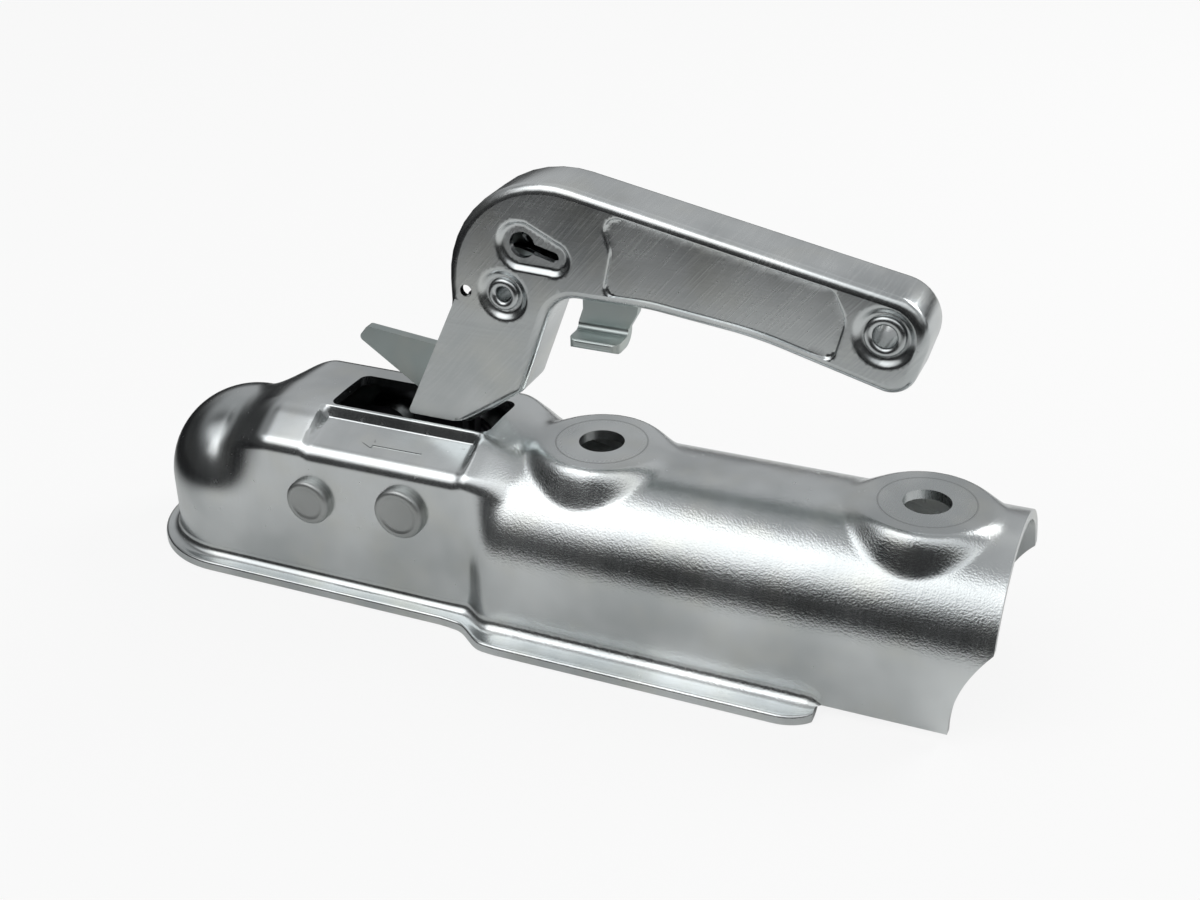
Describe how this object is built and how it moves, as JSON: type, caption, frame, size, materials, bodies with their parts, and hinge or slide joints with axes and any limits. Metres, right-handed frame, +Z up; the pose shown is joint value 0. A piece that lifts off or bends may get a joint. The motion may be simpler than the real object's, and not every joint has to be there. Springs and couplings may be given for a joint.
{
  "type": "trailer coupling head",
  "caption": "Pressed steel trailer coupling head that locks over a tow ball by a sprung handle with a finger latch, with a half-round saddle and bolt pads for a round drawbar.",
  "frame": {"origin": "centre of the tow ball when the head is locked on it", "axes": "+X from the ball back along the drawbar, +Y across the head, away from the side with the finger lip, +Z up"},
  "size_m": [0.2886, 0.0842, 0.1396],
  "materials": {
    "body_zinc": "bright zinc plate on drawn sheet, satin draw lines along the tail",
    "handle_zinc": "bright zinc plate on pressed sheet",
    "latch_zinc": "zinc plate on stamped sheet, slightly matt",
    "pin_steel": "zinc plate on upset heads",
    "rivet_steel": "zinc plate on rolled rivet rims",
    "inner_steel": "plain zinc plate",
    "lever_steel": "dark phosphate on blanked plate",
    "jaw_iron": "dark cast iron, lightly greased",
    "spring_steel": "oil tempered spring wire"
  },
  "bodies": {
    "body": {"coupling_shell": "body_zinc", "front_pin": "pin_steel", "rear_pin": "pin_steel", "jaw_spacer_near": "inner_steel", "jaw_spacer_far": "inner_steel", "lever_spacer_near": "inner_steel", "lever_spacer_far": "inner_steel", "handle_spring_near": "spring_steel", "handle_spring_far": "spring_steel"},
    "handle": {"lever_plate_near": "lever_steel", "lever_plate_far": "lever_steel", "plate_spacer": "inner_steel", "handle_shell_near": "handle_zinc", "handle_shell_far": "handle_zinc", "corner_rivet": "rivet_steel", "end_rivet": "rivet_steel", "end_sleeve": "inner_steel", "latch_spring": "spring_steel"},
    "latch": {"latch_plate": "latch_zinc"},
    "jaw": {"ball_jaw": "jaw_iron"}
  },
  "joints": [
    {"name": "handle_lift", "type": "hinge", "parent": "body", "child": "handle", "pos_m": [0.072, 0, 0.0129], "axis": [0, -1, 0], "range_deg": [0, 28], "stiffness_Nm_per_rad": 1.5, "springref_deg": -11.46},
    {"name": "latch_squeeze", "type": "hinge", "parent": "handle", "child": "latch", "pos_m": [0.1009, 0, 0.0819], "axis": [0, -1, 0], "range_deg": [0, 13], "stiffness_Nm_per_rad": 0.5, "springref_deg": -17.19},
    {"name": "jaw_swing", "type": "hinge", "parent": "body", "child": "jaw", "pos_m": [0.0392, 0, 0.0101], "axis": [0, -1, 0], "range_deg": [0, 13]}
  ],
  "couplings": [
    {"joint": "jaw_swing", "follows": "handle_lift", "ratio": 0.45}
  ]
}
